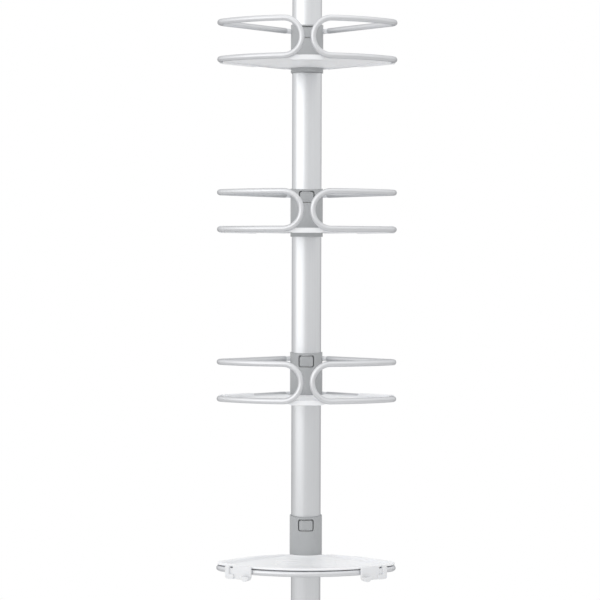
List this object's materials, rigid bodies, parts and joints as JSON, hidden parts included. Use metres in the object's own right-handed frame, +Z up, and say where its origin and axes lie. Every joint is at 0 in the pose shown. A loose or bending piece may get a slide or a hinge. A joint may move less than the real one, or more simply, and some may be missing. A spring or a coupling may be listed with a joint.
{
  "type": "tension pole shelf unit",
  "caption": "Corner shelf unit on an oval telescopic tension pole: baskets of bent tube with drain trays and a flat shelf with hook clips, each locked by a push button.",
  "frame": {"origin": "middle of the foot pad's underside, on the floor", "axes": "+X to the right seen from the front, +Y back into the room's corner, +Z up along the pole"},
  "size_m": [0.2994, 0.232, 1.9443],
  "materials": {
    "anodised_pole": "satin anodised, brushed along the length",
    "satin_tube": "satin anodised",
    "grey_plastic": "fine matte moulding texture",
    "white_plastic": "soft sheen",
    "soft_rubber": "matte",
    "bright_steel": "drawn wire"
  },
  "bodies": {
    "pole_base": {"foot_pad": "soft_rubber", "foot_socket": "grey_plastic", "lower_pole": "anodised_pole", "lock_collar": "grey_plastic", "lock_liner": "white_plastic", "lock_pin": "bright_steel", "lock_spring": "bright_steel"},
    "upper_section": {"upper_pole": "anodised_pole", "glide_bush": "white_plastic", "spring_seat": "white_plastic", "tension_spring": "bright_steel"},
    "head": {"plunger": "white_plastic", "ceiling_cap": "grey_plastic", "ceiling_pad": "soft_rubber"},
    "lock_button": {"lock_button": "grey_plastic"},
    "lock_lever": {"lock_lever": "white_plastic"},
    "shelf_1": {"collar_1": "grey_plastic", "carrier_1": "white_plastic", "lever_pin_1": "bright_steel", "brake_spring_1": "bright_steel", "tray_1": "white_plastic", "guard_left_1": "satin_tube", "guard_right_1": "satin_tube"},
    "button_1": {"release_button_1": "grey_plastic"},
    "lever_1": {"brake_lever_1": "white_plastic"},
    "shelf_2": {"collar_2": "grey_plastic", "carrier_2": "white_plastic", "lever_pin_2": "bright_steel", "brake_spring_2": "bright_steel", "tray_2": "white_plastic", "guard_left_2": "satin_tube", "guard_right_2": "satin_tube"},
    "button_2": {"release_button_2": "grey_plastic"},
    "lever_2": {"brake_lever_2": "white_plastic"},
    "shelf_3": {"collar_3": "grey_plastic", "carrier_3": "white_plastic", "lever_pin_3": "bright_steel", "brake_spring_3": "bright_steel", "tray_3": "white_plastic", "guard_left_3": "satin_tube", "guard_right_3": "satin_tube"},
    "button_3": {"release_button_3": "grey_plastic"},
    "lever_3": {"brake_lever_3": "white_plastic"},
    "shelf_4": {"collar_4": "grey_plastic", "carrier_4": "white_plastic", "lever_pin_4": "bright_steel", "brake_spring_4": "bright_steel", "tray_4": "white_plastic", "rim_tube": "satin_tube"},
    "button_4": {"release_button_4": "grey_plastic"},
    "lever_4": {"brake_lever_4": "white_plastic"},
    "hook_left": {"hook_clip_left": "white_plastic"},
    "hook_right": {"hook_clip_right": "white_plastic"}
  },
  "joints": [
    {"name": "pole_extend", "type": "slide", "parent": "pole_base", "child": "upper_section", "axis": [0, 0, 1], "range_m": [-0.25, 0.65]},
    {"name": "plunger_press", "type": "slide", "parent": "upper_section", "child": "head", "axis": [0, 0, 1], "range_m": [-0.025, 0], "stiffness_N_per_m": 6000, "deforming": ["tension_spring"]},
    {"name": "lock_button_press", "type": "slide", "parent": "pole_base", "child": "lock_button", "axis": [0, 1, 0], "range_m": [0, 0.0018], "stiffness_N_per_m": 1200},
    {"name": "lock_lever_tilt", "type": "hinge", "parent": "pole_base", "child": "lock_lever", "pos_m": [0, -0.0214, 1.59], "axis": [-1, 0, 0], "range_deg": [0, 5.95], "deforming": ["lock_spring"]},
    {"name": "shelf_1_slide", "type": "slide", "parent": "pole_base", "child": "shelf_1", "axis": [0, 0, 1], "range_m": [-0.095, 0.105]},
    {"name": "shelf_1_button_press", "type": "slide", "parent": "shelf_1", "child": "button_1", "axis": [0, 1, 0], "range_m": [0, 0.0018], "stiffness_N_per_m": 1200},
    {"name": "shelf_1_lever_tilt", "type": "hinge", "parent": "shelf_1", "child": "lever_1", "pos_m": [0, -0.0214, 1.3491], "axis": [-1, 0, 0], "range_deg": [0, 5.95], "deforming": ["brake_spring_1"]},
    {"name": "shelf_2_slide", "type": "slide", "parent": "pole_base", "child": "shelf_2", "axis": [0, 0, 1], "range_m": [-0.095, 0.095]},
    {"name": "shelf_2_button_press", "type": "slide", "parent": "shelf_2", "child": "button_2", "axis": [0, 1, 0], "range_m": [0, 0.0018], "stiffness_N_per_m": 1200},
    {"name": "shelf_2_lever_tilt", "type": "hinge", "parent": "shelf_2", "child": "lever_2", "pos_m": [0, -0.0214, 1.0664], "axis": [-1, 0, 0], "range_deg": [0, 5.95], "deforming": ["brake_spring_2"]},
    {"name": "shelf_3_slide", "type": "slide", "parent": "pole_base", "child": "shelf_3", "axis": [0, 0, 1], "range_m": [-0.095, 0.095]},
    {"name": "shelf_3_button_press", "type": "slide", "parent": "shelf_3", "child": "button_3", "axis": [0, 1, 0], "range_m": [0, 0.0018], "stiffness_N_per_m": 1200},
    {"name": "shelf_3_lever_tilt", "type": "hinge", "parent": "shelf_3", "child": "lever_3", "pos_m": [0, -0.0214, 0.7837], "axis": [-1, 0, 0], "range_deg": [0, 5.95], "deforming": ["brake_spring_3"]},
    {"name": "shelf_4_slide", "type": "slide", "parent": "pole_base", "child": "shelf_4", "axis": [0, 0, 1], "range_m": [-0.36, 0.095]},
    {"name": "shelf_4_button_press", "type": "slide", "parent": "shelf_4", "child": "button_4", "axis": [0, 1, 0], "range_m": [0, 0.0018], "stiffness_N_per_m": 1200},
    {"name": "shelf_4_lever_tilt", "type": "hinge", "parent": "shelf_4", "child": "lever_4", "pos_m": [0, -0.0214, 0.501], "axis": [-1, 0, 0], "range_deg": [0, 5.95], "deforming": ["brake_spring_4"]},
    {"name": "hook_left_shift", "type": "hinge", "parent": "shelf_4", "child": "hook_left", "pos_m": [0, 0, 0.461], "axis": [0, 0, 1], "range_deg": [-2, 22]},
    {"name": "hook_right_shift", "type": "hinge", "parent": "shelf_4", "child": "hook_right", "pos_m": [0, 0, 0.461], "axis": [0, 0, 1], "range_deg": [-22, 2]}
  ],
  "couplings": [
    {"joint": "lock_lever_tilt", "follows": "lock_button_press", "rad_per_m": 57.47},
    {"joint": "shelf_1_lever_tilt", "follows": "shelf_1_button_press", "rad_per_m": 57.47},
    {"joint": "shelf_2_lever_tilt", "follows": "shelf_2_button_press", "rad_per_m": 57.47},
    {"joint": "shelf_3_lever_tilt", "follows": "shelf_3_button_press", "rad_per_m": 57.47},
    {"joint": "shelf_4_lever_tilt", "follows": "shelf_4_button_press", "rad_per_m": 57.47}
  ]
}
